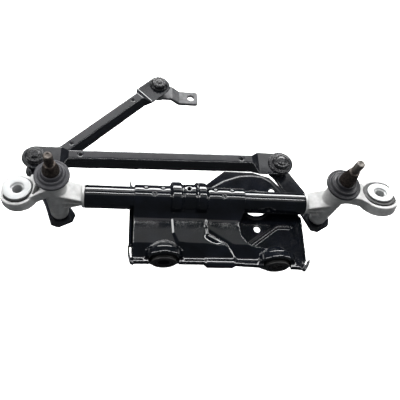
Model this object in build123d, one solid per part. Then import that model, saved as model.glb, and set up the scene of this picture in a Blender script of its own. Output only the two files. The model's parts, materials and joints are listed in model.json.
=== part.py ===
from build123d import *
import math
import os

# Windshield wiper linkage without its motor, arms and blades. Millimetres, +Z up.
# Everything is drawn about the axis of the frame tube: X runs along the tube from the left
# spindle to the right one, Y points to the rear, Z is the direction of both wiper spindles.
# The finished pieces are moved so that the origin is the centre of the motor shaft hole, in
# the top face of the motor plate.

# ---------------------------------------------------------------- driving dimensions
FIT = 0.02                 # gap between pieces that are pressed or clamped together
RUN = 0.05                 # running gap of a ball in its socket
OPEN_RUN = 1.25            # gap of the ball where the linkage is held open
PLAY = 0.4                 # gap between pieces that move past each other

TUBE_R = 11.0
TUBE_WALL = 1.5
TUBE_LEFT = -103.0
TUBE_RIGHT = 110.5

LEFT_X = -129.0            # spindle axes, both parallel to Z and over the tube axis
RIGHT_X = 136.5
LEFT_BARREL = (-33.0, 35.0)    # lowest and highest point of the cast barrel
RIGHT_BARREL = (-28.5, 39.5)
SPINDLE_ABOVE = {"left": 32.0, "right": 38.0}   # from the top of the barrel to the thread's end

SPINDLE_R = 5.0
BUSH_R = 6.4
BUSH_LENGTH = 14.0
BUSH_INSET = 3.0
BARREL_R = 8.6
BARREL_TOP_R = 10.8
CAP_R = {"left": 15.2, "right": 16.4}
CAP_HEIGHT = 8.5
CAP_LIFT = 0.6
CONE_R = 7.4
CONE_TOP_R = 5.0
THREAD_R = 4.0
THREAD_LENGTH = 11.5

LEVER_LENGTH = {"left": 63.8, "right": 70.0}
LEVER_ANGLE = {"left": 116.7, "right": 120.7}    # direction of the levers at rest, from +X
LEVER_T = 4.0
LEVER_HUB_R = 14.8         # corners of the hub, from the spindle axis
LEVER_END_R = 11.0
LEVER_GAP = 3.0            # from the end of the barrel to the lever
HUB_PIN_R = 4.0
RIVET_HEAD = 1.5

BALL_R = 7.0
BALL_HEIGHT = 10.0         # from the face of the lever to the centre of the ball
STUD_R = 3.5
NECK_R = 4.2
COLLAR_R = 7.5
COLLAR_T = 1.5

SOCKET_R = 9.4
SOCKET_TOP = 9.0           # dome of the socket, above the centre of the ball
SOCKET_RIM = 4.6           # lower rim of the socket, below the centre of the ball
PADDLE_T = 2.2
PADDLE_BOTTOM = -0.2       # underside of the paddle, from the centre of the ball
PADDLE_W = 27.5
PADDLE_REACH = 25.0        # from the ball to the end of the flat paddle
JOGGLE = 8.0
WEB_RISE = 6.8             # top of the channel above the top of the paddle
WEB_W = 10.5
CHANNEL_W = 15.7
CHANNEL_H = 14.5
SHEET = 2.0

DRIVE_LENGTH = 182.9
DRIVE_ANGLE = 45.5
CRANK_RADIUS = 42.4
CRANK_ANGLE = 0.1
CRANK_T = 4.0
CRANK_STEP = 8.0
CRANK_W = 19.5
CRANK_END = 8.8            # from the shaft hole to the square end
SHAFT_HOLE_R = 4.2

HOLE_X = 64.5              # motor shaft hole
HOLE_Y = 5.5
HOLE_R = 14.0
PLATE_TOP = -13.5
PLATE_T = 2.5
DOME_H = 2.2               # height of the part of the plate that is raised behind the tube
EDGE_H = 2.5               # turned-up side edges, above the plate
HOOK_H = 3.5               # hooks on the corners of the plate, above the plate
SCREW_HOLE_R = 3.3

BOSS_R = 18.0
BOSS_X = {"left": -28.5, "right": 80.0}
BOSS_Z = -14.7
BOSS_FRONT = {"left": -56.2, "right": -59.0}
BOSS_RIM = 7.0             # length of the boss at its full width
BOSS_TAIL = 8.0            # length of the cone behind it
BOSS_TAIL_R = 9.0
NOSE_R = 12.2
NOSE_REACH = 4.0
PIN_HOLE_R = 5.5

EYE = {
    "left": dict(centre=(-160.6, -3.0, 14.0), tilt=(-0.07, 0.10, 0.99), outer=16.6, bore=13.6, cut=11.3),
    "right": dict(centre=(179.7, -0.6, 27.0), tilt=(-0.09, 0.28, 0.955), outer=19.8, bore=16.2, cut=13.0),
}
EYE_T = 11.4
EYE_WALL = 3.2             # flat outer wall of the left eye
SLEEVE_FLANGE_R = 12.2
SLEEVE_R = 7.5
SLEEVE_BORE_R = 4.5
SLEEVE_FLANGE_T = 1.6

# Sections of the cast arms, from the spindle to the eye: x, half width, then the lowest and highest
# points on the front side and on the rear side.
ARM = {
    "left": [
        (-129.0, 10.4, 18.0, 31.0, 18.0, 31.0),
        (-139.5, 10.8, 9.0, 22.5, 8.5, 22.0),
        (-151.0, 13.2, 3.6, 15.8, 2.0, 13.6),
    ],
    "right": [
        (136.5, 9.4, 18.5, 31.0, 18.5, 31.0),
        (149.0, 8.6, 18.5, 30.5, 17.5, 29.5),
        (158.0, 9.6, 17.6, 30.2, 14.5, 27.0),
        (166.5, 14.4, 18.6, 29.9, 10.0, 21.6),
    ],
}
# Plates of the ribbed necks: half width, lowest and highest point at the tube, and the same at the spindle.
NECK_PLATES = [
    (9.0, 3.6, 6.2, 9.8, 13.5, 17.0),
    (9.0, -0.6, 1.6, 8.4, -1.2, 1.4),
    (7.0, -5.2, -3.0, 7.8, -16.0, -13.2),
    (2.0, -5.0, 5.0, 2.0, -15.0, 15.0),
]

SADDLE_LEFT = -57.8
SADDLE_RIGHT = 48.8

ORIGIN = Vector(HOLE_X, HOLE_Y, PLATE_TOP)
pieces = {}


# ---------------------------------------------------------------- small helpers
def rod(radius, bottom, top, x=0.0, y=0.0):
    """Upright cylinder between two heights."""
    return Pos(x, y, bottom) * Cylinder(radius, top - bottom, align=(Align.CENTER, Align.CENTER, Align.MIN))


def cone(bottom_r, top_r, bottom, top, x=0.0, y=0.0):
    """Upright cone between two heights."""
    upright = (Align.CENTER, Align.CENTER, Align.MIN)
    return Pos(x, y, bottom) * Cone(bottom_r, top_r, top - bottom, align=upright)


def rod_x(radius, start, end, y=0.0, z=0.0):
    """Cylinder along X."""
    return Pos(start, y, z) * Rot(0, 90, 0) * rod(radius, 0, end - start)


def rod_y(radius, start, end, x=0.0, z=0.0):
    """Cylinder along Y."""
    return Pos(x, start, z) * Rot(-90, 0, 0) * rod(radius, 0, end - start)


def block(x0, x1, y0, y1, z0, z1):
    """Box between two corners."""
    low = (Align.MIN, Align.MIN, Align.MIN)
    return Pos(x0, y0, z0) * Box(x1 - x0, y1 - y0, z1 - z0, align=low)


def prism(points, bottom, top):
    """Straight-sided solid on an outline in the XY plane."""
    outline = make_face(Polyline(*points, close=True))
    return Pos(0, 0, bottom) * extrude(outline, top - bottom)


def tapered_bar(start, end, start_r, end_r, bottom, top):
    """Flat bar with two round ends joined by tangent sides."""
    ends = Pos(*start) * Circle(start_r) + Pos(*end) * Circle(end_r)
    outline = make_hull(ends.edges())
    return Pos(0, 0, bottom) * extrude(outline, top - bottom)


def polar(centre, length, angle):
    """Point at a distance and direction from another point."""
    turn = math.radians(angle)
    return (centre[0] + length * math.cos(turn), centre[1] + length * math.sin(turn))


def turned(profile):
    """Solid of revolution about Z from an outline of radius and height pairs."""
    outline = make_face(Plane.XZ * Polyline(*profile, close=True))
    return revolve(outline, Axis.Z, 360)


def keep(name, shape):
    """File a finished piece under its name, in the frame of the whole part."""
    pieces[name] = Pos(-ORIGIN) * shape


# ---------------------------------------------------------------- positions that follow
left_spindle_at = (LEFT_X, 0.0)
right_spindle_at = (RIGHT_X, 0.0)
left_ball_at = polar(left_spindle_at, LEVER_LENGTH["left"], LEVER_ANGLE["left"])
right_ball_at = polar(right_spindle_at, LEVER_LENGTH["right"], LEVER_ANGLE["right"])
link_length = math.dist(left_ball_at, right_ball_at)
link_angle = math.degrees(math.atan2(right_ball_at[1] - left_ball_at[1], right_ball_at[0] - left_ball_at[0]))
crank_ball_at = polar(left_ball_at, DRIVE_LENGTH, DRIVE_ANGLE)
crank_hole_at = polar(crank_ball_at, CRANK_RADIUS, CRANK_ANGLE)
left_lever_top = LEFT_BARREL[0] - LEVER_GAP
right_lever_top = RIGHT_BARREL[0] - LEVER_GAP
left_ball_z = left_lever_top + BALL_HEIGHT
lower_ball_z = left_lever_top - LEVER_T - BALL_HEIGHT
right_ball_z = right_lever_top + BALL_HEIGHT
# Both paddles of the drive rod are level: its lever socket faces up and its crank socket down.
crank_ball_z = lower_ball_z - PADDLE_T - 2 * PADDLE_BOTTOM


# ---------------------------------------------------------------- frame tube
def frame_tube():
    """Steel tube with crimps that hold the castings and flats where the ends were pressed."""
    tube = rod_x(TUBE_R, TUBE_LEFT, TUBE_RIGHT) - rod_x(TUBE_R - TUBE_WALL, TUBE_LEFT - 1, TUBE_RIGHT + 1)
    crimp_depth = 0.8
    for centre_x in (TUBE_LEFT + 12, TUBE_RIGHT - 20):
        front = Pos(centre_x, -TUBE_R + crimp_depth, 2) * Rot(90, 0, 0)
        slot = extrude(SlotOverall(13, 5), 4)
        tube -= front * slot
    for centre_x in (TUBE_LEFT + 28, TUBE_RIGHT - 39):
        tube -= Pos(centre_x, -TUBE_R, -TUBE_R + 3.2) * Rot(45, 0, 0) * Box(11, 4, 2.4)
    return tube


# ---------------------------------------------------------------- pivot housings
def eye_frame(side):
    """Plane of a mounting eye, with its normal along the fixing screw."""
    eye = EYE[side]
    return Plane(origin=eye["centre"], x_dir=(1, 0, 0), z_dir=eye["tilt"])


def eye_room(side):
    """Room for the grommet: round with a flat outer wall on the left, open to the outside on the right."""
    eye = EYE[side]
    if side == "left":
        return rod(eye["bore"] + FIT, -40, 40) & block(-eye["cut"], 40, -30, 30, -41, 41)
    return rod(eye["bore"] + FIT, -40, 40) + block(eye["cut"], 40, -30, 30, -EYE_T - 1, 1)


def eye_ring(side):
    """Ring of a cast eye before the room for the grommet is cut."""
    eye = EYE[side]
    ring = rod(eye["outer"], -EYE_T, 0)
    if side == "left":
        ring &= block(-eye["cut"] - EYE_WALL, 40, -30, 30, -EYE_T - 1, 1)
    return ring


def arm(side):
    """Tapered arm from the barrel to the eye."""
    faces = []
    for x, half, front_low, front_high, rear_low, rear_high in ARM[side]:
        outline = [(-half, front_low), (-half, front_high), (half, rear_high), (half, rear_low)]
        faces.append(section(x, outline))
    bar = None
    for start, end in zip(faces, faces[1:]):
        piece = loft([start, end], ruled=True)
        bar = piece if bar is None else bar + piece
    return bar


def arm_pocket():
    """Recess in the top of the left arm, between the eye and the barrel."""
    floor = prism([(-147.2, -10.0), (-144.6, 3.0), (-142.4, 3.0), (-139.4, -3.0), (-138.6, -6.6)], 12.5, 40)
    slot = prism([(-147.2, -10.0), (-144.6, 3.0), (-142.0, 3.0), (-144.4, -9.4)], 7.0, 40)
    return floor + slot


def housing_neck(side, x):
    """Ribbed neck between the barrel and the collar on the end of the tube, with its spigot."""
    toward = 1 if side == "left" else -1
    end = TUBE_LEFT if side == "left" else TUBE_RIGHT
    near, far = sorted((end, end - toward * 2.5))
    start, stop = sorted((end, end + toward * 20))
    collar = rod_x(TUBE_R - 0.2, near, far)
    spigot = rod_x(TUBE_R - TUBE_WALL - FIT, start, stop) - rod_x(5.5, start - 1, stop + 1)
    spigot -= block(start - 1, stop + 1, -30, -TUBE_R + TUBE_WALL + 0.9, -30, 30)
    neck = collar + spigot
    for half, low, high, far_half, far_low, far_high in NECK_PLATES:
        at_tube = [(-half, low), (-half, high), (half, high), (half, low)]
        at_spindle = [(-far_half, far_low), (-far_half, far_high), (far_half, far_high), (far_half, far_low)]
        neck += loft([section(end - toward * 1.5, at_tube), section(x, at_spindle)], ruled=True)
    return neck


def pivot_housing(side):
    """Cast aluminium bearing housing with its eye arm and its spigot for the tube."""
    x = LEFT_X if side == "left" else RIGHT_X
    bottom, top = LEFT_BARREL if side == "left" else RIGHT_BARREL
    body = cone(BARREL_R, BARREL_TOP_R, bottom, top - 8, x) + rod(BARREL_TOP_R, top - 8, top, x)
    body += housing_neck(side, x)
    body += arm(side)
    body += eye_frame(side) * eye_ring(side)
    body -= eye_frame(side) * eye_room(side)
    if side == "left":
        body -= arm_pocket()
    return body - rod(BUSH_R + FIT, bottom - 1, top + 1, x)


# ---------------------------------------------------------------- mounting eyes
def eye_grommet(side):
    """Rubber grommet pushed into a mounting eye."""
    eye = EYE[side]
    body = rod(eye["bore"], -EYE_T - 1.5, 1.0)
    body -= rod(SLEEVE_R + FIT, -EYE_T - 3, 3)
    outside = block(eye["cut"] - FIT, 40, -30, 30, -EYE_T - 3, 3)
    body -= outside if side == "right" else mirror(outside, Plane.YZ)
    return eye_frame(side) * body


def eye_sleeve(side):
    """Plated steel sleeve with a flange on each end of the grommet."""
    bottom = -EYE_T - 1.5 - FIT - SLEEVE_FLANGE_T
    top = 1.0 + FIT
    body = rod(SLEEVE_R, bottom, top) + rod(SLEEVE_FLANGE_R, top, top + SLEEVE_FLANGE_T)
    body += rod(SLEEVE_FLANGE_R - 3, bottom, bottom + SLEEVE_FLANGE_T)
    body -= rod(SLEEVE_BORE_R, bottom - 1, top + 5)
    body -= cone(SLEEVE_BORE_R - 0.3, SLEEVE_BORE_R + 1.4, top - 0.4, top + SLEEVE_FLANGE_T + 0.01)
    return eye_frame(side) * body


def boss_grommet(side):
    """Rubber grommet in a front boss; its nose takes a locating pin of the car body."""
    x = BOSS_X[side]
    front = BOSS_FRONT[side]
    back = front + BOSS_RIM
    body = rod_y(BOSS_R - SHEET - FIT, front + SHEET + FIT, back, x, BOSS_Z)
    body += rod_y(NOSE_R, front - NOSE_REACH, back, x, BOSS_Z)
    return body - rod_y(PIN_HOLE_R, front - NOSE_REACH - 1, back + 1, x, BOSS_Z)


# ---------------------------------------------------------------- bearings and seals
def bush(x, bottom):
    """Sintered bronze bearing bush."""
    return rod(BUSH_R, bottom, bottom + BUSH_LENGTH, x) - rod(SPINDLE_R + RUN, bottom - 1, bottom + 50, x)


def flat_ring(x, inner, outer, bottom, top):
    """Washer or shim."""
    return rod(outer, bottom, top, x) - rod(inner, bottom - 1, top + 1, x)


def o_ring(x, z):
    """Rubber ring that seals the spindle above the upper bush."""
    thick = (BUSH_R - SPINDLE_R) / 2 - FIT
    ring = Torus(SPINDLE_R + FIT + thick, thick)
    return Pos(x, 0, z) * ring


def retaining_ring(x, bottom):
    """Snap ring in the groove of the spindle, open on one side."""
    ring = flat_ring(x, SPINDLE_R - 0.6 + FIT, SPINDLE_R + 2.2, bottom, bottom + 1.2)
    return ring - block(x - 2, x + 2, 0, 20, bottom - 1, bottom + 3)


# ---------------------------------------------------------------- spindles
def spindle(side):
    """Wiper spindle: riveted foot, journal, snap ring groove, knurled cone and thread."""
    x = LEFT_X if side == "left" else RIGHT_X
    bottom, top = LEFT_BARREL if side == "left" else RIGHT_BARREL
    tip = top + SPINDLE_ABOVE[side]
    lever_top = bottom - LEVER_GAP
    thread_from = tip - THREAD_LENGTH
    cone_from = top + CAP_LIFT + CAP_HEIGHT - 1.0
    groove = top + 0.8
    foot = lever_top - LEVER_T
    profile = [
        (0, foot - RIVET_HEAD),
        (HUB_PIN_R + 1.8, foot - RIVET_HEAD),
        (HUB_PIN_R + 2.2, foot - FIT),
        (HUB_PIN_R, foot - FIT),
        (HUB_PIN_R, lever_top + FIT),
        (SPINDLE_R, lever_top + FIT),
        (SPINDLE_R, groove),
        (SPINDLE_R - 0.6, groove),
        (SPINDLE_R - 0.6, groove + 1.3),
        (SPINDLE_R, groove + 1.3),
        (SPINDLE_R, cone_from),
        (CONE_R, cone_from),
        (CONE_R, cone_from + 3.0),
        (CONE_TOP_R, thread_from - 2.0),
        (THREAD_R - 1.0, thread_from - 1.4),
        (THREAD_R - 1.0, thread_from),
        (THREAD_R, thread_from),
        (THREAD_R, tip - 1.2),
        (THREAD_R - 1.2, tip),
        (0, tip),
    ]
    return Pos(x, 0, 0) * turned(profile)


def dust_cap(side):
    """Moulded cap pushed on the spindle, over the snap ring and the end of the barrel."""
    x = LEFT_X if side == "left" else RIGHT_X
    radius = CAP_R[side]
    base = (LEFT_BARREL if side == "left" else RIGHT_BARREL)[1] + CAP_LIFT
    inner = SPINDLE_R + FIT
    profile = [
        (radius - 1.2, base - 1.6),
        (radius, base - 1.0),
        (radius, base + 1.2),
        (radius - 0.9, base + 1.9),
        (radius - 3.2, base + 2.0),
        (radius - 3.9, base + 3.6),
        (radius - 5.6, base + 4.2),
        (CONE_R + 1.9, base + 6.4),
        (CONE_R + 1.2, base + CAP_HEIGHT - 1.2 - FIT),
        (inner, base + CAP_HEIGHT - 1.2 - FIT),
        (inner, base + 5.6),
        (SPINDLE_R + 3.0, base + 3.0),
        (radius - 5.0, base + 2.4),
        (radius - 5.4, base + 0.4),
        (radius - 1.2, base + 0.2),
    ]
    return Pos(x, 0, 0) * turned(profile)


# ---------------------------------------------------------------- levers and ball studs
def lever(side):
    """Stamped lever with a many-cornered hub and a round ball end."""
    x = LEFT_X if side == "left" else RIGHT_X
    top = left_lever_top if side == "left" else right_lever_top
    length = LEVER_LENGTH[side]
    hub = [polar((0, 0), LEVER_HUB_R, corner) for corner in (120, 151, -151, -120)]
    sides = [(12.0, -10.4), (length - 6, -9.6), (length, -9.6), (length, 9.6), (length - 6, 9.6), (12.0, 10.4)]
    plate = prism(hub + sides, -LEVER_T, 0) + rod(LEVER_END_R, -LEVER_T, 0, length)
    plate -= rod(HUB_PIN_R + FIT, -LEVER_T - 1, 1)
    plate -= rod(STUD_R + FIT, -LEVER_T - 1, 1, length)
    return Pos(x, 0, top) * Rot(0, 0, LEVER_ANGLE[side]) * plate


def ball_stud(shank):
    """Ball pin with its collar on a plate whose top is BALL_HEIGHT below the ball."""
    sphere = Sphere(BALL_R) & rod(BALL_R + 1, -BALL_R, BALL_R - 0.8)
    stud = sphere + rod(NECK_R, -BALL_HEIGHT + COLLAR_T - 0.5, -BALL_R + 2)
    stud += rod(COLLAR_R, -BALL_HEIGHT + FIT, -BALL_HEIGHT + COLLAR_T)
    return stud + rod(STUD_R, -BALL_HEIGHT - shank, -BALL_HEIGHT + 0.5)


def riveted_stud(plate_t):
    """Ball pin whose shank goes through the plate and is riveted over below it."""
    head_from = -BALL_HEIGHT - plate_t - FIT
    return ball_stud(plate_t + 1.0) + cone(STUD_R + 1.0, STUD_R + 1.6, head_from - RIVET_HEAD, head_from)


def upper_ball_stud():
    """Ball pin of the left lever; its hollow shank takes the pin of the lower ball."""
    hollow = rod(2.0 + FIT, -BALL_HEIGHT - LEVER_T - 1, -BALL_HEIGHT + 2)
    return ball_stud(LEVER_T) - hollow


def lower_ball_stud():
    """Second ball of the left lever, pressed into the upper one from below."""
    stud = Rot(180, 0, 0) * ball_stud(0)
    plug = rod(2.0, BALL_HEIGHT - 1, BALL_HEIGHT + LEVER_T + 1.5)
    return stud + plug


# ---------------------------------------------------------------- ball sockets
def socket(flange_r, facets, gap=RUN):
    """Moulded ball socket that clips into the paddle of a rod, with a domed top."""
    paddle_top = PADDLE_BOTTOM + PADDLE_T
    body = rod(SOCKET_R, -SOCKET_RIM, SOCKET_TOP - 2.0) + cone(SOCKET_R, SOCKET_R - 2.4, SOCKET_TOP - 2.0, SOCKET_TOP)
    body += rod(flange_r, paddle_top + FIT, paddle_top + 2.2)
    groove = rod(SOCKET_R + 5, paddle_top + 3.4, paddle_top + 4.2) - rod(SOCKET_R - 0.8, -10, 20)
    body -= groove
    for facet in range(facets):
        notch = Pos(SOCKET_R + 0.6, 0, SOCKET_TOP) * Box(2.6, 3.0, 4.4)
        body -= Rot(0, 0, facet * 360 / facets) * notch
    body -= Sphere(BALL_R + gap)
    body -= cone(SOCKET_R - 1.2, NECK_R + 1.6, -SOCKET_RIM - 0.01, -SOCKET_RIM + 1.6)
    return body


def boot(gap=PLAY):
    """Rubber bellows under a socket, round the neck of the ball pin."""
    bottom = -BALL_HEIGHT + COLLAR_T + PLAY
    top = -SOCKET_RIM - FIT
    middle = (bottom + top) / 2
    profile = [
        (NECK_R + gap, bottom),
        (COLLAR_R + 0.8, bottom),
        (COLLAR_R + 1.4, middle - 0.6),
        (COLLAR_R + 0.2, middle),
        (SOCKET_R - 0.2, middle + 0.6),
        (SOCKET_R - 0.6, top),
        (SOCKET_R - 2.2, top),
        (NECK_R + 1.6, middle),
    ]
    return turned(profile)


# ---------------------------------------------------------------- link rods
def channel_profile(web_top, height):
    """Section of the channel: flat web on top and two slightly spread walls."""
    half_top = WEB_W / 2
    half_low = CHANNEL_W / 2
    low = web_top - height
    outer = [(-half_low, low), (-half_top, web_top), (half_top, web_top), (half_low, low)]
    inner = [
        (half_low - SHEET, low),
        (half_top - SHEET, web_top - SHEET),
        (-half_top + SHEET, web_top - SHEET),
        (-half_low + SHEET, low),
    ]
    return outer + inner


def section(x, points):
    """Face across the rod at a distance along it, from width and height pairs."""
    return make_face(Polyline(*[(x, y, z) for y, z in points], close=True))


def link_rod(length, start_z, end_z):
    """Pressed rod along +X: flat paddles at both ends and a channel between them."""
    paddle_top = PADDLE_BOTTOM + PADDLE_T
    body = None
    for ball_x, ball_z, inward in ((0.0, start_z, 1), (length, end_z, -1)):
        reach = ball_x + inward * PADDLE_REACH
        flat = rod(PADDLE_W / 2, ball_z + PADDLE_BOTTOM, ball_z + paddle_top, ball_x)
        flat += block(
            min(ball_x, reach),
            max(ball_x, reach),
            -PADDLE_W / 2,
            PADDLE_W / 2,
            ball_z + PADDLE_BOTTOM,
            ball_z + paddle_top,
        )
        body = flat if body is None else body + flat
    start_x = PADDLE_REACH + JOGGLE
    end_x = length - start_x
    slope = (end_z - start_z) / (length - 2 * PADDLE_REACH)
    start_top = start_z + paddle_top + WEB_RISE + slope * JOGGLE
    end_top = end_z + paddle_top + WEB_RISE - slope * JOGGLE
    channel = loft(
        [
            section(start_x, channel_profile(start_top, CHANNEL_H)),
            section(end_x, channel_profile(end_top, CHANNEL_H)),
        ],
        ruled=True,
    )
    body += channel
    for paddle_x, ball_z, channel_x, channel_top in (
        (PADDLE_REACH, start_z, start_x, start_top),
        (length - PADDLE_REACH, end_z, end_x, end_top),
    ):
        half = PADDLE_W / 2
        top = ball_z + paddle_top
        low = ball_z + PADDLE_BOTTOM
        flat_face = [
            (-half, low),
            (-half, top),
            (half, top),
            (half, low),
        ]
        channel_face = [
            (-CHANNEL_W / 2, channel_top - CHANNEL_H),
            (-WEB_W / 2, channel_top),
            (WEB_W / 2, channel_top),
            (CHANNEL_W / 2, channel_top - CHANNEL_H),
        ]
        outside = loft([section(paddle_x, flat_face), section(channel_x, channel_face)], ruled=True)
        inward = 1 if paddle_x < channel_x else -1
        under_flat = [
            (-half + SHEET, low - 6),
            (-half + SHEET, low - 0.01),
            (half - SHEET, low - 0.01),
            (half - SHEET, low - 6),
        ]
        under_channel = [
            (-CHANNEL_W / 2 + SHEET, channel_top - CHANNEL_H - 0.01),
            (-WEB_W / 2 + SHEET, channel_top - SHEET),
            (WEB_W / 2 - SHEET, channel_top - SHEET),
            (CHANNEL_W / 2 - SHEET, channel_top - CHANNEL_H - 0.01),
        ]
        inside = loft([section(paddle_x, under_flat), section(channel_x, under_channel)], ruled=True)
        body += outside - inside
        hole_x = channel_x + inward * 12
        body -= rod(1.8, -200, 200, hole_x)
    for ball_x, ball_z in ((0.0, start_z), (length, end_z)):
        body -= rod(SOCKET_R + FIT, ball_z - 5, ball_z + 5, ball_x)
    return body


# ---------------------------------------------------------------- motor crank
def motor_crank():
    """Stepped crank plate with a ball pin hole and a hole for the motor shaft."""
    top = -BALL_HEIGHT
    half = CRANK_W / 2
    bend_from = 17.5
    bend_to = 27.5
    low = top - CRANK_STEP
    end = CRANK_RADIUS + CRANK_END
    side_view = [
        (0, top),
        (bend_from, top),
        (bend_to, low),
        (end, low),
        (end, low - CRANK_T),
        (bend_to - 1.6, low - CRANK_T),
        (bend_from - 1.6, top - CRANK_T),
        (0, top - CRANK_T),
    ]
    outline = make_face(Plane.XZ * Polyline(*side_view, close=True))
    plate = extrude(outline, half, both=True)
    corners = plate.edges().filter_by(Axis.Z).sort_by(Axis.X)[-2:]
    plate = fillet(corners, 3.0)
    plate += rod(half + 1.5, top - CRANK_T, top)
    plate -= rod(STUD_R + FIT, top - CRANK_T - 1, top + 1)
    plate -= rod(SHAFT_HOLE_R, low - CRANK_T - 1, low + 1, CRANK_RADIUS)
    return plate


# ---------------------------------------------------------------- stamped bracket
def sheet_strip(points, radii, thickness, x0, x1):
    """Bent sheet along X whose middle line is given in the YZ plane."""
    line = FilletPolyline(*[(0, y, z) for y, z in points], radius=radii)
    start = Plane(origin=line @ 0, z_dir=line % 0, x_dir=(1, 0, 0))
    profile = start * Rectangle(x1 - x0, thickness)
    return Pos((x0 + x1) / 2, 0, 0) * sweep(profile, path=line)


def saddle_outline():
    """Plan of the saddle bracket, counter-clockwise from the rear left corner."""
    return [
        (SADDLE_LEFT, 20.0),
        (SADDLE_LEFT, -60.3),
        (9.0, -60.3),
        (12.0, -63.4),
        (36.5, -63.4),
        (39.5, -61.4),
        (104.4, -64.3),
        (103.5, -58.0),
        (97.5, -52.5),
        (88.0, -48.5),
        (73.0, -46.3),
        (58.5, -44.5),
        (51.0, -40.5),
        (45.0, -32.5),
        (43.8, -22.0),
        (SADDLE_RIGHT, -12.0),
        (SADDLE_RIGHT, 20.0),
    ]


def saddle_bracket():
    """Upper shell: wraps over the tube, runs forward as a cover and holds the front bosses."""
    wrap = TUBE_R + FIT + SHEET / 2
    rim = PLATE_TOP + FIT + SHEET / 2
    points = [
        (wrap, -6.0),
        (wrap, wrap),
        (-wrap * math.tan(math.radians(30)), wrap),
        (-15.0, -1.9),
        (-44.0, -6.5),
        (-54.5, rim),
        (-66.0, rim),
    ]
    radii = [wrap - 0.05, wrap - 0.05, 15.0, 8.0, 3.0]
    shell = sheet_strip(points, radii, SHEET, SADDLE_LEFT - 1, 110.0)
    shell = shell & prism(saddle_outline(), -60, 60)
    for start, end in ((-23.0, -13.0), (0.5, 11.0)):
        ridge = rod_x(TUBE_R + 4.4, start, end) - rod_x(TUBE_R + SHEET / 2, start - 1, end + 1)
        ridge -= block(start - 1, end + 1, -30, 30, -30, -3)
        shell += ridge
    for side in ("left", "right"):
        shell += boss_half(side, upper=True)
    for side in ("left", "right"):
        shell -= boss_bore(side)
    shell -= block(-200, 200, -80, 0, -60, PLATE_TOP + FIT)
    shell -= rod(1.6, 0, 30, -6.4, 3.0)
    return shell


def boss_solid(x, front, radius, tail_r, inset, tail_inset):
    """Round front boss without its bore: a short cylinder and the cone behind it."""
    rim_back = front + BOSS_RIM
    body = rod_y(radius, front + inset, rim_back, x, BOSS_Z)
    tail = Pos(x, rim_back, BOSS_Z) * Rot(-90, 0, 0) * cone(radius, tail_r, 0, BOSS_TAIL + tail_inset)
    return body + tail


def boss_half(side, upper):
    """Half of the round front boss that holds a rubber grommet."""
    x = BOSS_X[side]
    solid = boss_solid(x, BOSS_FRONT[side], BOSS_R, BOSS_TAIL_R, 0, 0)
    height = BOSS_R + 5
    if upper:
        return solid & block(x - 30, x + 30, -80, 0, PLATE_TOP + FIT, BOSS_Z + height)
    return solid & block(x - 30, x + 30, -80, 0, BOSS_Z - height, PLATE_TOP)


def boss_bore(side):
    """Room for the grommet inside a front boss, with its smaller front opening."""
    x = BOSS_X[side]
    front = BOSS_FRONT[side]
    body = boss_solid(x, front, BOSS_R - SHEET, BOSS_TAIL_R - SHEET, SHEET, 0.2)
    return body + rod_y(NOSE_R + 1.4, front - 9, front + 5, x, BOSS_Z)


def plate_outline():
    """Plan of the motor plate, clockwise from the front left corner."""
    return [
        (-58.0, -60.6),
        (-59.5, -35.0),
        (-59.5, 16.5),
        (-57.0, 18.0),
        (2.0, 18.0),
        (15.0, 26.0),
        (35.4, 43.4),
        (66.0, 43.5),
        (84.0, 38.0),
        (95.0, 26.0),
        (103.0, 8.0),
        (111.0, -8.0),
        (108.5, -64.8),
        (39.5, -61.7),
        (36.5, -63.6),
        (12.0, -63.6),
        (9.0, -60.6),
    ]


def raised_outline():
    """Plan of the raised part of the motor plate behind the tube."""
    return [
        (24.0, 1.0),
        (22.0, 22.3),
        (35.0, 30.5),
        (51.5, 36.8),
        (64.0, 38.0),
        (75.5, 37.0),
        (84.5, 31.5),
        (93.5, 19.0),
        (96.5, 1.0),
    ]


def hook_outlines():
    """Plans of the three small hooks on the corners of the motor plate."""
    rear_left = [
        (-58.6, 14.0),
        (-58.6, 18.6),
        (-60.4, 21.0),
        (-60.6, 25.0),
        (-61.8, 25.0),
        (-61.8, 20.4),
        (-60.2, 18.0),
        (-60.2, 14.0),
    ]
    front_left = [
        (-58.6, -58.0),
        (-60.0, -52.0),
        (-60.8, -44.5),
        (-62.2, -44.5),
        (-61.8, -52.5),
        (-59.8, -60.5),
        (-56.5, -62.2),
        (-56.5, -60.5),
    ]
    front_right = [
        (107.5, -62.0),
        (110.5, -58.5),
        (112.0, -55.5),
        (113.2, -56.0),
        (112.3, -59.5),
        (108.0, -66.2),
        (105.9, -66.2),
        (105.9, -64.2),
    ]
    return rear_left, front_left, front_right


def pressed_rib(points, width, height):
    """Low round-ended ridge pressed up along a line of points."""
    line = Polyline(*points)
    ridge = offset(line, width / 2)
    return Pos(0, 0, PLATE_TOP - 1.0) * extrude(make_face(ridge), 1.0 + height)


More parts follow.
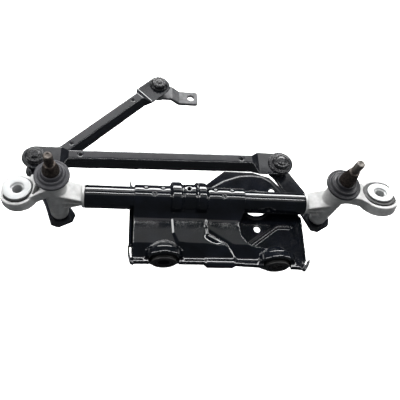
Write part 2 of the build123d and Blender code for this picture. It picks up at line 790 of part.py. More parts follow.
def motor_plate():
    """Lower stamping: motor face with its shaft hole, front bosses, rib and turned edges."""
    low = PLATE_TOP - PLATE_T
    plate = prism(plate_outline(), low, PLATE_TOP)
    raised = make_face(Polyline(*raised_outline(), close=True))
    room = offset(raised, -SHEET)
    plate += Pos(0, 0, low + 1.0) * extrude(raised, PLATE_T - 1.0 + DOME_H)
    plate -= Pos(0, 0, low - 1.0) * extrude(room, 1.0 + DOME_H)
    plate += rod(HOLE_R + 3.0, low, PLATE_TOP + 1.0, HOLE_X, HOLE_Y)
    for side in ("left", "right"):
        plate += boss_half(side, upper=False)
    for side in ("left", "right"):
        plate -= boss_bore(side)
    edge_top = PLATE_TOP + EDGE_H
    plate += block(-61.5, -59.0, -44.0, 6.0, low, edge_top)
    plate += prism([(107.5, -57.0), (109.2, -9.0), (111.4, -9.0), (109.7, -57.0)], low, edge_top)
    for hook in hook_outlines():
        plate += prism(hook, low, PLATE_TOP + HOOK_H)
    plate += pressed_rib([(55.5, -40.5), (84.5, -19.0), (98.0, -19.0)], 4.4, 1.3)
    plate -= rod(HOLE_R, -60, 0, HOLE_X, HOLE_Y)
    for x, y in screw_holes():
        plate -= rod(SCREW_HOLE_R, -60, 0, x, y)
    return plate


def screw_holes():
    """Centres of the three holes for the motor screws."""
    return [(HOLE_X, HOLE_Y - 28.5), (HOLE_X + 19.5, HOLE_Y + 14.1), (HOLE_X - 20.5, HOLE_Y + 8.5)]


for name, shape in (
    ("frame_tube", frame_tube()),
    ("left_pivot_housing", pivot_housing("left")),
    ("right_pivot_housing", pivot_housing("right")),
    ("left_eye_grommet", eye_grommet("left")),
    ("right_eye_grommet", eye_grommet("right")),
    ("left_eye_sleeve", eye_sleeve("left")),
    ("right_eye_sleeve", eye_sleeve("right")),
    ("saddle_bracket", saddle_bracket()),
    ("motor_plate", motor_plate()),
    ("left_boss_grommet", boss_grommet("left")),
    ("right_boss_grommet", boss_grommet("right")),
):
    keep(name, shape)

for side, x, barrel in (("left", LEFT_X, LEFT_BARREL), ("right", RIGHT_X, RIGHT_BARREL)):
    keep(side + "_lower_bush", bush(x, barrel[0] + BUSH_INSET))
    keep(side + "_upper_bush", bush(x, barrel[1] - BUSH_INSET - BUSH_LENGTH))
    keep(side + "_spindle_seal", o_ring(x, barrel[1] - BUSH_INSET + 1.5))
    keep(side + "_spindle", spindle(side))
    keep(side + "_dust_cap", dust_cap(side))
    keep(side + "_lever", lever(side))
    keep(side + "_retaining_ring", retaining_ring(x, barrel[1] + 0.85))
    keep(side + "_thrust_washer", flat_ring(x, SPINDLE_R + RUN, BARREL_R - 0.6, barrel[0] - 2.0, barrel[0] - 0.4))

keep("left_upper_ball_stud", Pos(*left_ball_at, left_ball_z) * upper_ball_stud())
keep("left_lower_ball_stud", Pos(*left_ball_at, lower_ball_z) * lower_ball_stud())
keep("right_ball_stud", Pos(*right_ball_at, right_ball_z) * riveted_stud(LEVER_T))
keep("crank_ball_stud", Pos(*crank_ball_at, crank_ball_z) * riveted_stud(CRANK_T))

long_rod = link_rod(link_length, left_ball_z, right_ball_z)
keep("long_link_rod", Pos(*left_ball_at, 0) * Rot(0, 0, link_angle) * long_rod)
drive = link_rod(DRIVE_LENGTH, crank_ball_z, crank_ball_z)
keep("drive_link_rod", Pos(*left_ball_at, 0) * Rot(0, 0, DRIVE_ANGLE) * drive)
keep("motor_crank", Pos(*crank_ball_at, crank_ball_z) * Rot(0, 0, CRANK_ANGLE) * motor_crank())

keep("link_left_socket", Pos(*left_ball_at, left_ball_z) * socket(10.4, 6))
keep("link_right_socket", Pos(*right_ball_at, right_ball_z) * socket(13.6, 0, OPEN_RUN))
keep("drive_lever_socket", Pos(*left_ball_at, lower_ball_z) * Rot(180, 0, 0) * socket(10.4, 6))
keep("drive_crank_socket", Pos(*crank_ball_at, crank_ball_z) * socket(10.4, 6))
keep("link_left_boot", Pos(*left_ball_at, left_ball_z) * boot())
keep("link_right_boot", Pos(*right_ball_at, right_ball_z) * boot(PLAY + OPEN_RUN))
keep("drive_lever_boot", Pos(*left_ball_at, lower_ball_z) * Rot(180, 0, 0) * boot())
keep("drive_crank_boot", Pos(*crank_ball_at, crank_ball_z) * boot())

os.makedirs("parts", exist_ok=True)
for name, shape in pieces.items():
    export_step(shape, "parts/" + name + ".step")
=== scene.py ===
import json
import math

import bpy
import numpy as np
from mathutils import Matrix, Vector


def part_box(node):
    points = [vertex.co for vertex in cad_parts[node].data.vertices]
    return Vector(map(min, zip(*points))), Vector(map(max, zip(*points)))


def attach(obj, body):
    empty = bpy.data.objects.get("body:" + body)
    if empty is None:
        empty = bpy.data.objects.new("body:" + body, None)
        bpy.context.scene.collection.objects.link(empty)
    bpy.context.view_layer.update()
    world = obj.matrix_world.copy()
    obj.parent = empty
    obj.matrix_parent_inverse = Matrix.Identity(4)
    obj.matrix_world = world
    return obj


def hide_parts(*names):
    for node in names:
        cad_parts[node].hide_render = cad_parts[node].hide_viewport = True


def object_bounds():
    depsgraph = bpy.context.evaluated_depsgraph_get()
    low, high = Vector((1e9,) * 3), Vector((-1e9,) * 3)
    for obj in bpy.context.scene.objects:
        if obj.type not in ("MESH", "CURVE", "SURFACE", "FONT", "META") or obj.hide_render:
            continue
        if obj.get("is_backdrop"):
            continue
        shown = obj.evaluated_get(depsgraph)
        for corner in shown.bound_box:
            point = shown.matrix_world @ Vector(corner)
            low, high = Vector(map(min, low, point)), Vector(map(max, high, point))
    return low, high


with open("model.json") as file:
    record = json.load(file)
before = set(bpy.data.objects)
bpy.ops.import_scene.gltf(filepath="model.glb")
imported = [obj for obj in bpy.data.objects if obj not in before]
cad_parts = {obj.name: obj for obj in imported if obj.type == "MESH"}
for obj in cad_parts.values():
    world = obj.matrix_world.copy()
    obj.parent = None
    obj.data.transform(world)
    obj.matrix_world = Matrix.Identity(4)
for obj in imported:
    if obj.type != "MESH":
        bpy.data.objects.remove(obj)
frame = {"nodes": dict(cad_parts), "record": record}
cad_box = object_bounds()

MM = 0.001
# The shapes below are in millimetres from the tube's axis: X along the tube, Z along the spindles.
# ORIGIN is the centre of the motor shaft hole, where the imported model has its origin.
ORIGIN = np.array((64.5, 5.5, -13.5))

TUBE_R = 11.0
TUBE_WALL = 1.5
TUBE_ENDS = (-103.0, 110.5)
SPINDLE_X = {"left": -129.0, "right": 136.5}
BARREL_TOP = {"left": 35.0, "right": 39.5}
BARREL_BOTTOM = {"left": -33.0, "right": -28.5}
TIP = {"left": 67.0, "right": 77.5}
CAP_R = {"left": 15.2, "right": 16.4}
SOCKET_RIM = 4.6           # lower rim of a ball socket, below the centre of the ball
LEVER_FOOT = 7.0           # underside of the lever, below the barrel
CAP_LIFT = 0.6             # dust cap above the barrel
CONE_LIFT = 8.1            # knurled cone above the barrel
THREAD_LENGTH = 11.5
THREAD_PITCH = 1.25
COVER_REAR = -15.0         # rear end of the saddle's sloping cover
COVER_LENGTH = 29.0
EYE = {
    "left": dict(centre=(-160.6, -3.0, 14.0), tilt=(-0.07, 0.10, 0.99)),
    "right": dict(centre=(179.7, -0.6, 27.0), tilt=(-0.09, 0.28, 0.955)),
}
BOSS = {"left": (-28.5, -56.2, -14.7), "right": (80.0, -59.0, -14.7)}

DIMPLE_CENTRES = (-38.8, 27.6)
DIMPLE_PATTERN = ((0.0, 0.5), (-8.0, 7.5), (8.0, 7.5), (-8.0, -8.0), (8.0, -8.0))

node_slot = {part["node"]: part["material_slot"] for part in frame["record"]["subparts"]}
node_body = {}
for body, members in frame["record"]["behaviour"]["bodies"].items():
    for member in members:
        node_body[member] = body


# ---------------------------------------------------------------- shader helpers
def new_material(name, colour, roughness, metallic=0.0, **sockets):
    """Principled material with fixed sockets; returns the material, its tree and its shader."""
    material = bpy.data.materials.new(name)
    material.use_nodes = True
    tree = material.node_tree
    shader = tree.nodes["Principled BSDF"]
    shader.inputs["Base Color"].default_value = (*colour, 1.0)
    shader.inputs["Roughness"].default_value = roughness
    shader.inputs["Metallic"].default_value = metallic
    for socket, value in sockets.items():
        shader.inputs[socket.replace("_", " ")].default_value = value
    return material, tree, shader


def noise(tree, scale, detail=4.0):
    """Noise over the object's own coordinates, in features per metre."""
    place = tree.nodes.new("ShaderNodeTexCoord")
    texture = tree.nodes.new("ShaderNodeTexNoise")
    texture.inputs["Scale"].default_value = scale
    texture.inputs["Detail"].default_value = detail
    tree.links.new(place.outputs["Object"], texture.inputs["Vector"])
    return texture.outputs["Fac"]


def ramp(tree, source, low, high, start=0.35, end=0.65):
    """Two-colour ramp over a grey value."""
    node = tree.nodes.new("ShaderNodeValToRGB")
    node.color_ramp.elements[0].position = start
    node.color_ramp.elements[1].position = end
    node.color_ramp.elements[0].color = (*low, 1.0)
    node.color_ramp.elements[1].color = (*high, 1.0)
    tree.links.new(source, node.inputs["Fac"])
    return node.outputs["Color"]


def spread(tree, source, low, high):
    """Map a noise value onto a range."""
    node = tree.nodes.new("ShaderNodeMapRange")
    node.inputs["From Min"].default_value = 0.3
    node.inputs["From Max"].default_value = 0.7
    node.inputs["To Min"].default_value = low
    node.inputs["To Max"].default_value = high
    tree.links.new(source, node.inputs["Value"])
    return node.outputs["Result"]


def bump(tree, shader, source, distance, strength=1.0):
    """Bump the shader's normal, chained after any earlier bump."""
    node = tree.nodes.new("ShaderNodeBump")
    node.inputs["Distance"].default_value = distance
    node.inputs["Strength"].default_value = strength
    tree.links.new(source, node.inputs["Height"])
    earlier = shader.inputs["Normal"].links
    if earlier:
        tree.links.new(earlier[0].from_socket, node.inputs["Normal"])
    tree.links.new(node.outputs["Normal"], shader.inputs["Normal"])


def varied(tree, shader, low, high, scale, detail=4.0):
    """Vary the base colour between two colours."""
    tree.links.new(ramp(tree, noise(tree, scale, detail), low, high), shader.inputs["Base Color"])


# ---------------------------------------------------------------- materials
def paint(name, low, high, gloss, dull, wave):
    """Black dip paint: slightly wavy, with a faint blue cast and uneven gloss."""
    material, tree, shader = new_material(name, low, gloss, IOR=1.65)
    varied(tree, shader, low, high, 60.0)
    tree.links.new(spread(tree, noise(tree, 140.0), gloss, dull), shader.inputs["Roughness"])
    bump(tree, shader, noise(tree, 170.0, 2.0), wave, 0.5)
    bump(tree, shader, noise(tree, 1600.0, 3.0), 0.000008, 0.5)
    return material


def cast_aluminium():
    """Die-cast aluminium: pale satin grey with a fine grain and darker specks."""
    material, tree, shader = new_material("cast_aluminium", (0.6, 0.6, 0.59), 0.5, metallic=0.25)
    varied(tree, shader, (0.42, 0.42, 0.415), (0.54, 0.54, 0.535), 180.0)
    tree.links.new(spread(tree, noise(tree, 420.0), 0.46, 0.66), shader.inputs["Roughness"])
    bump(tree, shader, noise(tree, 1200.0, 5.0), 0.00010, 0.6)
    bump(tree, shader, noise(tree, 90.0, 2.0), 0.0003, 0.3)
    return material


def metal(name, low, high, roughness, metallic=1.0, scale=300.0):
    """Bare or plated steel with uneven gloss."""
    material, tree, shader = new_material(name, low, roughness, metallic=metallic)
    varied(tree, shader, low, high, scale)
    gloss = spread(tree, noise(tree, scale * 2), roughness - 0.08, roughness + 0.1)
    tree.links.new(gloss, shader.inputs["Roughness"])
    bump(tree, shader, noise(tree, 1800.0, 4.0), 0.00005, 0.4)
    return material


def spindle_steel():
    """Dark oiled steel, paler towards the tip of the thread."""
    material, tree, shader = new_material("spindle_steel", (0.05, 0.045, 0.04), 0.45, metallic=0.8)
    dark = ramp(tree, noise(tree, 500.0), (0.035, 0.028, 0.024), (0.10, 0.082, 0.070))
    place = tree.nodes.new("ShaderNodeTexCoord")
    split = tree.nodes.new("ShaderNodeSeparateXYZ")
    tree.links.new(place.outputs["Object"], split.inputs["Vector"])
    height = tree.nodes.new("ShaderNodeMapRange")
    height.inputs["From Min"].default_value = 0.076
    height.inputs["From Max"].default_value = 0.094
    tree.links.new(split.outputs["Z"], height.inputs["Value"])
    mix = tree.nodes.new("ShaderNodeMix")
    mix.data_type = "RGBA"
    mix.inputs["B"].default_value = (0.22, 0.205, 0.19, 1.0)
    tree.links.new(height.outputs["Result"], mix.inputs["Factor"])
    tree.links.new(dark, mix.inputs["A"])
    tree.links.new(mix.outputs["Result"], shader.inputs["Base Color"])
    tree.links.new(spread(tree, noise(tree, 800.0), 0.38, 0.58), shader.inputs["Roughness"])
    bump(tree, shader, noise(tree, 1500.0, 4.0), 0.00008, 0.5)
    return material


def moulded(name, low, high, roughness, grain=0.00004):
    """Rubber or plastic with a fine moulded grain."""
    material, tree, shader = new_material(name, low, roughness)
    varied(tree, shader, low, high, 160.0)
    gloss = spread(tree, noise(tree, 500.0), roughness - 0.06, roughness + 0.08)
    tree.links.new(gloss, shader.inputs["Roughness"])
    bump(tree, shader, noise(tree, 2200.0, 3.0), grain, 0.6)
    return material


def crank_steel():
    """Satin dark grey phosphated plate."""
    material, tree, shader = new_material("crank_steel", (0.05, 0.05, 0.052), 0.5, metallic=0.2)
    varied(tree, shader, (0.060, 0.060, 0.063), (0.105, 0.105, 0.109), 220.0)
    tree.links.new(spread(tree, noise(tree, 500.0), 0.45, 0.62), shader.inputs["Roughness"])
    bump(tree, shader, noise(tree, 1500.0, 4.0), 0.00006, 0.6)
    return material


materials = {
    "black_paint": paint("black_paint", (0.0015, 0.002, 0.003), (0.004, 0.005, 0.008), 0.06, 0.12, 0.00004),
    "cast_aluminium": cast_aluminium(),
    "spindle_steel": spindle_steel(),
    "plated_steel": metal("plated_steel", (0.40, 0.41, 0.41), (0.50, 0.51, 0.51), 0.38, 0.25, 80.0),
    "plain_steel": metal("plain_steel", (0.30, 0.30, 0.30), (0.45, 0.45, 0.45), 0.35),
    "crank_steel": crank_steel(),
    "bronze": metal("bronze", (0.35, 0.22, 0.11), (0.5, 0.33, 0.17), 0.4),
    "black_rubber": moulded("black_rubber", (0.004, 0.004, 0.004), (0.009, 0.009, 0.009), 0.5),
    "grey_cap": moulded("grey_cap", (0.028, 0.028, 0.033), (0.042, 0.042, 0.048), 0.5),
    "black_cap": moulded("black_cap", (0.008, 0.008, 0.010), (0.016, 0.016, 0.019), 0.42),
    "socket_plastic": moulded("socket_plastic", (0.006, 0.006, 0.007), (0.014, 0.014, 0.016), 0.24),
}
satin_paint = paint("satin_paint", (0.004, 0.0045, 0.006), (0.010, 0.011, 0.014), 0.07, 0.14, 0.00004)
satin_nodes = ("long_link_rod", "drive_link_rod", "left_lever", "right_lever")


def finish_of(node):
    """Material of a CAD node or of the mesh that stands for it."""
    return satin_paint if node in satin_nodes else materials[node_slot[node]]


for node, thing in frame["nodes"].items():
    thing.data.materials.clear()
    thing.data.materials.append(finish_of(node))


# ---------------------------------------------------------------- mesh helpers
def stand_in(mesh, node):
    """Put a mesh in the place of a CAD node, on the same body."""
    thing = bpy.data.objects.new(node + "_skin", mesh)
    bpy.context.collection.objects.link(thing)
    mesh.polygons.foreach_set("use_smooth", [True] * len(mesh.polygons))
    mesh.materials.clear()
    mesh.materials.append(finish_of(node))
    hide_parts(node)
    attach(thing, node_body[node])
    return thing


def soft_mesh(node, voxel, rounds):
    """Copy of a CAD mesh with its edges rounded off, as pressing or casting leaves them."""
    source = bpy.data.objects.new("source", frame["nodes"][node].data.copy())
    bpy.context.collection.objects.link(source)
    remesh = source.modifiers.new("remesh", "REMESH")
    remesh.mode = "VOXEL"
    remesh.voxel_size = voxel * MM
    smooth = source.modifiers.new("smooth", "SMOOTH")
    smooth.factor = 0.5
    smooth.iterations = rounds
    ready = source.evaluated_get(bpy.context.evaluated_depsgraph_get())
    mesh = bpy.data.meshes.new_from_object(ready)
    bpy.data.objects.remove(source)
    return mesh


def shift_points(mesh, change):
    """Move the points of a mesh by a function of their places, in millimetres."""
    flat = np.empty(len(mesh.vertices) * 3)
    mesh.vertices.foreach_get("co", flat)
    points = flat.reshape(-1, 3) / MM + ORIGIN
    points = points + change(points)
    mesh.vertices.foreach_set("co", ((points - ORIGIN) * MM).reshape(-1))
    mesh.update()


def ring_mesh(name, rings, wrapped):
    """Closed skin over rings of points in millimetres; its ends join each other or get centre points."""
    rings = np.asarray(rings, float)
    count, around = rings.shape[:2]
    points = rings.reshape(-1, 3)
    faces = []
    for ring in range(count if wrapped else count - 1):
        after = (ring + 1) % count
        for step in range(around):
            beside = (step + 1) % around
            near, far = ring * around, after * around
            faces.append((near + step, near + beside, far + beside, far + step))
    if not wrapped:
        first = len(points)
        points = np.vstack([points, rings[0].mean(0), rings[-1].mean(0)])
        last = (count - 1) * around
        for step in range(around):
            beside = (step + 1) % around
            faces.append((first, beside, step))
            faces.append((first + 1, last + step, last + beside))
    mesh = bpy.data.meshes.new(name)
    mesh.from_pydata(((points - ORIGIN) * MM).tolist(), [], faces)
    return mesh


def rounded(points, radius, closed=True, steps=4):
    """Profile with each corner replaced by a small curve."""
    result = []
    count = len(points)
    for index, point in enumerate(points):
        if not closed and index in (0, count - 1):
            result.append(point)
            continue
        here = Vector(point)
        before = Vector(points[index - 1]) - here
        after = Vector(points[(index + 1) % count]) - here
        cut = min(radius, before.length * 0.45, after.length * 0.45)
        start = here + before.normalized() * cut
        end = here + after.normalized() * cut
        for step in range(steps + 1):
            t = step / steps
            result.append(tuple(start * (1 - t) ** 2 + here * 2 * t * (1 - t) + end * t**2))
    return result


def divided(points, longest):
    """Open profile with points added so that no straight run is longer than given."""
    result = [points[0]]
    for before, after in zip(points, points[1:]):
        parts = max(1, math.ceil(math.dist(before, after) / longest))
        for part in range(1, parts + 1):
            t = part / parts
            result.append(tuple(a + (b - a) * t for a, b in zip(before, after)))
    return result


def turned(name, profile, around, place, wrapped=True, shape=None):
    """Skin turned from a radius and height profile; shape may change the radius by height and angle."""
    angles = np.linspace(0, 2 * math.pi, around, endpoint=False)
    rings = []
    for radius, height in profile:
        size = np.full(around, float(radius))
        if shape is not None:
            size = shape(size, height, angles)
        rings.append(place(size * np.cos(angles), size * np.sin(angles), np.full(around, float(height))))
    return ring_mesh(name, rings, wrapped)


def upright(x, y, z):
    """Placing function for pieces turned about an axis along Z."""

    def place(across, along, height):
        return np.stack([x + across, y + along, z + height], axis=1)

    return place


# ---------------------------------------------------------------- frame tube
def tube_radius(x, lean):
    """Outside radius of the tube; lean is the angle from its top towards the front."""
    radius = TUBE_R - 0.05 + 0.05 * np.sin(x * 0.31 + 2 * lean) * np.cos(x * 0.13 - lean)
    for centre_x, length in ((TUBE_ENDS[0] + 15.0, 6.6), (TUBE_ENDS[1] - 17.0, 6.6)):
        along = (x - centre_x) / length
        across = (lean - 0.88) * TUBE_R / 2.9
        reach = np.sqrt(along**4 + across**4)
        radius -= 0.95 / (1 + np.exp((reach - 0.75) * 14))
        radius += 0.45 * np.exp(-((along * 1.5) ** 4) - (across * 2.8) ** 2)
    for centre_x in (TUBE_ENDS[0] + 27.0, TUBE_ENDS[1] - 38.0):
        along = (x - centre_x) / 3.4
        across = (lean - 1.28) * TUBE_R / 3.0
        radius -= 1.5 * np.exp(-(along**2) - across**2)
    return radius


def frame_tube():
    """Frame tube with the dents that hold the castings in its ends."""
    around = 120
    lean = np.linspace(0, 2 * math.pi, around, endpoint=False)
    lean = np.where(lean > math.pi, lean - 2 * math.pi, lean)
    low, high = TUBE_ENDS
    inner = TUBE_R - TUBE_WALL

    def ring(x, radius):
        return np.stack([np.full(around, x), -radius * np.sin(lean), radius * np.cos(lean)], axis=1)

    rings = [ring(low, np.full(around, inner)), ring(low, np.full(around, TUBE_R - 0.5))]
    for x in np.linspace(low + 0.3, high - 0.3, 330):
        rings.append(ring(x, tube_radius(x, lean)))
    rings += [ring(high, np.full(around, TUBE_R - 0.5)), ring(high, np.full(around, inner))]
    for x in np.linspace(high - 20, low + 20, 6):
        rings.append(ring(x, np.full(around, inner - 0.1)))
    stand_in(ring_mesh("frame_tube_skin", rings, True), "frame_tube")


# ---------------------------------------------------------------- saddle bracket
RAISED_PANEL = [
    (-23.5, 30.0),
    (-22.0, -15.0),
    (-20.5, -34.0),
    (-16.0, -44.0),
    (-4.0, -46.5),
    (10.0, -53.0),
    (12.0, -70.0),
    (37.5, -70.0),
    (39.5, -56.0),
    (32.0, -45.0),
    (12.5, -34.0),
    (10.5, -26.0),
    (12.0, -14.0),
    (11.0, 30.0),
]
TONGUE = [(-11.0, 9.0), (-11.0, -13.5), (-9.5, -15.5), (1.0, -15.5), (2.6, -13.5), (2.6, 9.0)]
HOLLOW = [(13.5, -34.5), (22.0, -40.5), (31.0, -46.5)]
DIMPLES = [(x + dx, -2.0 + dy) for x in DIMPLE_CENTRES for dx, dy in DIMPLE_PATTERN]


def distance_to(points, line, closed):
    """Distance in plan from each point to a line of straight runs."""
    best = np.full(len(points), 1e9)
    ends = list(zip(line, line[1:]))
    if closed:
        ends.append((line[-1], line[0]))
    for start, end in ends:
        start = np.array(start)
        run = np.array(end) - start
        t = np.clip(((points - start) @ run) / (run @ run), 0, 1)
        best = np.minimum(best, np.linalg.norm(points - start - t[:, None] * run, axis=1))
    return best


def depth_in(points, outline):
    """Distance in plan to an outline, positive inside it."""
    inside = np.zeros(len(points), bool)
    for (ax, ay), (bx, by) in zip(outline, outline[1:] + outline[:1]):
        crosses = (ay > points[:, 1]) != (by > points[:, 1])
        if ay != by:
            at = ax + (points[:, 1] - ay) * (bx - ax) / (by - ay)
            inside ^= crosses & (points[:, 0] < at)
    return np.where(inside, 1, -1) * distance_to(points, outline, True)


def step(depth, width):
    """Soft step from 0 to 1 across an outline."""
    return 0.5 + 0.5 * np.tanh(depth / width)


def saddle_press(points):
    """Pressed shapes of the saddle bracket."""
    plan = points[:, :2]
    lift = 1.6 * step(depth_in(plan, RAISED_PANEL), 1.1)
    lift += 1.3 * step(depth_in(plan, TONGUE), 0.5) * (plan[:, 1] > -18)
    lift -= 1.1 * np.exp(-((distance_to(plan, HOLLOW, False) / 4.2) ** 2))
    lift += 0.35 * np.sin(np.clip((COVER_REAR - plan[:, 1]) / COVER_LENGTH, 0, 1) * math.pi)
    on_top = points[:, 2] > 4
    for x, y in DIMPLES:
        away = np.hypot(plan[:, 0] - x, plan[:, 1] - y)
        lift -= 1.0 * np.exp(-((away / 1.5) ** 2)) * on_top
    lift *= np.where((points[:, 2] > -8) | (plan[:, 1] < -40), 1.0, 0.3)
    lift *= step(plan[:, 1] + 62.0, 1.5)
    wrap = np.clip((plan[:, 1] + 15.0) / 5.0, 0, 1)
    radial = points[:, 1:] / np.maximum(np.linalg.norm(points[:, 1:], axis=1), 1.0)[:, None]
    move = np.zeros_like(points)
    move[:, 1] = lift * wrap * radial[:, 0]
    move[:, 2] = lift * (wrap * radial[:, 1] + 1 - wrap)
    return move


# ---------------------------------------------------------------- spindles and caps
def spindle(side):
    """Spindle with a knurled cone and a rolled thread."""
    top = BARREL_TOP[side]
    tip = TIP[side]
    foot = BARREL_BOTTOM[side] - LEVER_FOOT
    cone_from = top + CONE_LIFT
    thread_from = tip - THREAD_LENGTH
    lower = [(5.8, foot - 1.5), (6.2, foot), (4.0, foot), (4.0, foot + 4), (5.0, foot + 4), (5.0, cone_from)]
    cone = [(7.4, cone_from), (7.4, cone_from + 3.0), (5.0, thread_from - 2.0)]
    thread = [(3.1, thread_from - 1.4), (3.1, thread_from), (4.0, thread_from), (4.0, tip - 1.0), (3.2, tip)]
    profile = rounded(lower + cone + thread, 0.35, closed=False, steps=3)
    profile = divided([(0.6, foot - 1.5)] + profile + [(2.0, tip), (1.6, tip - 0.6), (0.4, tip - 0.8)], 0.28)

    def shape(size, height, angles):
        if cone_from + 0.5 < height < thread_from - 2.4:
            return size - 0.14 + 0.14 * np.cos(angles * 36)
        if thread_from + 0.2 < height < tip - 0.6 and size[0] > 3:
            return size - 0.2 + 0.2 * np.cos(2 * math.pi * height / THREAD_PITCH - angles)
        return size

    place = upright(SPINDLE_X[side], 0.0, 0.0)
    mesh = turned(side + "_spindle_skin", profile, 180, place, wrapped=False, shape=shape)
    stand_in(mesh, side + "_spindle")


def dust_cap(side):
    """Moulded cap: a wide brim, a groove, and steps up to the collar round the cone."""
    radius = CAP_R[side]
    base = BARREL_TOP[side] + CAP_LIFT
    profile = [
        (radius - 1.2, base - 1.6),
        (radius, base - 1.0),
        (radius, base + 1.0),
        (radius - 1.0, base + 1.7),
        (radius - 2.6, base + 1.3),
        (radius - 3.4, base + 1.9),
        (radius - 4.0, base + 3.6),
        (radius - 5.2, base + 4.0),
        (radius - 5.6, base + 3.6),
        (9.2, base + 4.6),
        (8.6, base + 6.6),
        (8.0, base + 7.2),
        (5.1, base + 7.2),
        (5.1, base + 5.6),
        (8.0, base + 2.6),
        (radius - 5.4, base + 0.4),
        (radius - 1.2, base + 0.2),
    ]
    mesh = turned(side + "_dust_cap_skin", rounded(profile, 0.5), 128, upright(SPINDLE_X[side], 0.0, 0.0))
    stand_in(mesh, side + "_dust_cap")


# ---------------------------------------------------------------- grommets, sleeves and sockets
def eye_sleeve(side):
    """Plated sleeve of an eye, with its flange and a bevelled hole."""
    eye = EYE[side]
    upward = Vector(eye["tilt"]).normalized()
    across_way = (Vector((1, 0, 0)) - upward * upward.x).normalized()
    along_way = upward.cross(across_way)
    profile = [
        (4.5, -14.5),
        (9.2, -14.5),
        (9.2, -12.95),
        (7.5, -12.95),
        (7.5, 1.05),
        (12.2, 1.05),
        (12.2, 2.6),
        (6.6, 2.6),
        (5.9, 2.1),
        (5.6, 1.2),
        (4.5, 0.7),
    ]

    def place(across, along, height):
        ways = ((across, across_way), (along, along_way), (height, upward))
        return np.array(eye["centre"]) + sum([np.outer(part, way) for part, way in ways])

    mesh = turned(side + "_eye_sleeve_skin", rounded(profile, 0.35), 96, place)
    stand_in(mesh, side + "_eye_sleeve")


def ball_socket(node, flange, room, top, shape):
    """Moulded ball socket; room is its radius inside, top is the profile above the clip flange."""
    low, high = (np.array(corner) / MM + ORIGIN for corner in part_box(node))
    centre = (*(low[:2] + high[:2]) / 2, low[2] + SOCKET_RIM)
    cup = [(0.05, 1.0), (0.60, 0.83), (0.94, 0.37), (1.0, 0.0), (0.88, -0.48)]
    inside = [(room * across, room * height) for across, height in cup]
    rim = [(room * 0.88, -SOCKET_RIM), (9.0, -SOCKET_RIM), (9.4, -3.8), (9.4, 2.05)]
    outside = rim + [(flange, 2.05), (flange, 3.4), (flange - 0.6, 4.1)]
    profile = rounded(outside + top + [(0.05, top[-1][1])] + inside, 0.4)
    mesh = turned(node + "_skin", profile, 144, upright(*centre), shape=shape)
    stand_in(mesh, node)


def nut_shape(size, height, angles):
    """Six flats on the middle of a socket's top."""
    if height < 6.9 or size[0] > 5.6:
        return size
    flat = np.cos((angles % (math.pi / 3)) - math.pi / 6)
    return size * 0.88 / flat


def notched_shape(size, height, angles):
    """Twelve notches round the upper edge of a socket."""
    if height < 4.6 or size[0] < 5.0:
        return size
    return size - 0.9 / (1 + np.exp(-8 * np.cos(angles * 12)))


def boss_grommet(side):
    """Rubber grommet of a front boss, with a lipped nose round the pin hole."""
    x, front, z = BOSS[side]
    profile = [
        (5.5, -7.0),
        (15.9, -7.0),
        (15.9, -2.1),
        (12.6, -2.1),
        (11.6, -1.0),
        (11.4, 1.2),
        (12.2, 2.0),
        (12.0, 3.4),
        (10.8, 4.0),
        (9.4, 3.7),
        (8.6, 2.4),
        (7.2, 2.4),
        (6.8, 3.2),
        (5.5, 2.8),
    ]

    def place(across, along, height):
        return np.stack([x + across, front - height, z + along], axis=1)

    mesh = turned(side + "_boss_grommet_skin", rounded(profile, 0.5), 96, place)
    stand_in(mesh, side + "_boss_grommet")


frame_tube()

saddle = soft_mesh("saddle_bracket", 0.6, 14)
shift_points(saddle, saddle_press)
stand_in(saddle, "saddle_bracket")
for node, voxel, rounds in (
    ("motor_plate", 0.5, 8),
    ("left_pivot_housing", 0.6, 5),
    ("right_pivot_housing", 0.6, 5),
    ("left_lever", 0.5, 8),
    ("right_lever", 0.5, 8),
    ("long_link_rod", 0.5, 22),
    ("drive_link_rod", 0.5, 22),
    ("motor_crank", 0.5, 4),
    ("left_eye_grommet", 0.45, 3),
    ("right_eye_grommet", 0.45, 3),
    ("drive_lever_socket", 0.4, 2),
):
    stand_in(soft_mesh(node, voxel, rounds), node)
for side in ("left", "right"):
    spindle(side)
    dust_cap(side)
    boss_grommet(side)
    eye_sleeve(side)
nut_top = [(9.3, 4.3), (9.3, 5.6), (8.2, 6.6), (6.4, 6.8), (5.2, 6.8), (5.0, 8.5), (4.2, 9.0)]
dome_top = [(9.6, 4.3), (9.4, 6.2), (8.2, 7.9), (6.9, 8.2), (6.5, 7.5), (5.8, 7.5), (5.2, 8.5), (3.0, 9.0)]
notched_top = [(9.3, 4.3), (9.3, 7.2), (8.2, 8.3), (6.2, 8.5), (5.4, 7.9), (3.4, 8.0), (2.6, 8.9)]
ball_socket("link_left_socket", 10.4, 7.3, nut_top, nut_shape)
ball_socket("link_right_socket", 13.6, 8.35, dome_top, None)
ball_socket("drive_crank_socket", 10.4, 7.3, notched_top, notched_shape)


# ---------------------------------------------------------------- floor, light and camera
def new_light(name, size, radiance, lean, turn, distance, glossy=True):
    """Rectangular light aimed at the origin; lean is from straight up, turn is from the back."""
    data = bpy.data.lights.new(name, "AREA")
    data.shape = "RECTANGLE"
    data.size, data.size_y = size
    data.energy = radiance * math.pi * size[0] * size[1]
    lamp = bpy.data.objects.new(name, data)
    lean = math.radians(lean)
    turn = math.radians(turn)
    lamp.location = (
        distance * math.sin(lean) * math.sin(turn),
        distance * math.sin(lean) * math.cos(turn),
        distance * math.cos(lean),
    )
    lamp.rotation_euler = (-lamp.location).to_track_quat("-Z", "Y").to_euler()
    lamp.visible_glossy = glossy
    bpy.context.collection.objects.link(lamp)


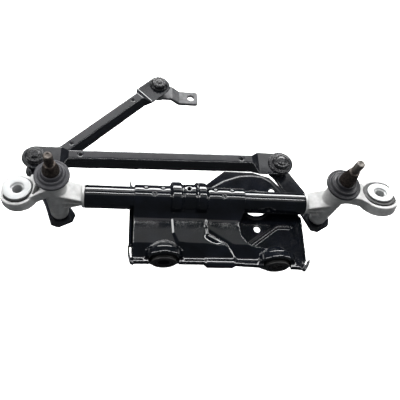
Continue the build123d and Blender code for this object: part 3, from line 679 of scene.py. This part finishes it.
def floor_and_light():
    """White floor and backdrop, dim surroundings, strips and panels of light, and a soft fill."""
    floor_height = cad_box[0][2] - 0.02
    bpy.ops.mesh.primitive_plane_add(size=6.0, location=(0.0, 0.0, floor_height))
    floor = bpy.context.object
    floor.name = "floor"
    material, tree, shader = new_material("floor_white", (0.93, 0.93, 0.93), 0.9)
    varied(tree, shader, (0.92, 0.92, 0.92), (0.94, 0.94, 0.94), 3.0)
    shader.inputs["Emission Color"].default_value = (1.0, 1.0, 1.0, 1.0)
    shader.inputs["Emission Strength"].default_value = 1.0
    floor.data.materials.append(material)
    bpy.ops.mesh.primitive_uv_sphere_add(radius=8.0, segments=64, ring_count=32)
    backdrop = bpy.context.object
    backdrop.name = "backdrop"
    backdrop.data.materials.append(material)
    for thing in (floor, backdrop):
        thing.visible_glossy = False
        thing.visible_diffuse = False
        thing.visible_shadow = False
        thing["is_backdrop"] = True
    world = bpy.context.scene.world or bpy.data.worlds.new("world")
    bpy.context.scene.world = world
    world.use_nodes = True
    background = world.node_tree.nodes["Background"]
    background.inputs["Color"].default_value = (0.85, 0.92, 1.0, 1.0)
    background.inputs["Strength"].default_value = 0.07
    new_light("near_strip", (2.0, 0.09), 20.0, 12.5, 0.0, 1.6)
    new_light("rear_panel", (1.8, 0.36), 1.7, 41.0, 0.0, 1.5)
    new_light("far_strip", (1.8, 0.36), 17.0, 62.0, 0.0, 1.4)
    new_light("overhead_panel", (1.6, 0.40), 0.5, 1.0, 180.0, 1.6)
    new_light("left_strip", (0.25, 1.0), 9.0, 58.0, -85.0, 1.4)
    new_light("right_strip", (0.25, 1.0), 9.0, 58.0, 85.0, 1.4)
    new_light("top_fill", (1.5, 1.5), 1.0, 10.0, 0.0, 1.5, glossy=False)
    new_light("front_fill", (1.2, 0.8), 1.0, 55.0, 180.0, 1.4, glossy=False)


def photo_camera():
    """Camera above and in front, turned a little about its own axis."""
    data = bpy.data.cameras.new("camera")
    data.sensor_width = 36.0
    data.lens = 42.75
    data.clip_start = 0.01
    data.clip_end = 20.0
    camera = bpy.data.objects.new("camera", data)
    camera.location = (-0.13032, -0.22373, 0.41350)
    camera.rotation_euler = [math.radians(angle) for angle in (28.695, -8.818, -2.518)]
    bpy.context.collection.objects.link(camera)
    bpy.context.scene.camera = camera


floor_and_light()
photo_camera()
bpy.context.scene.view_settings.view_transform = "Standard"

boxes = {"cad": cad_box, "visual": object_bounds()}
{name: [list(corner) for corner in corners] for name, corners in boxes.items()}
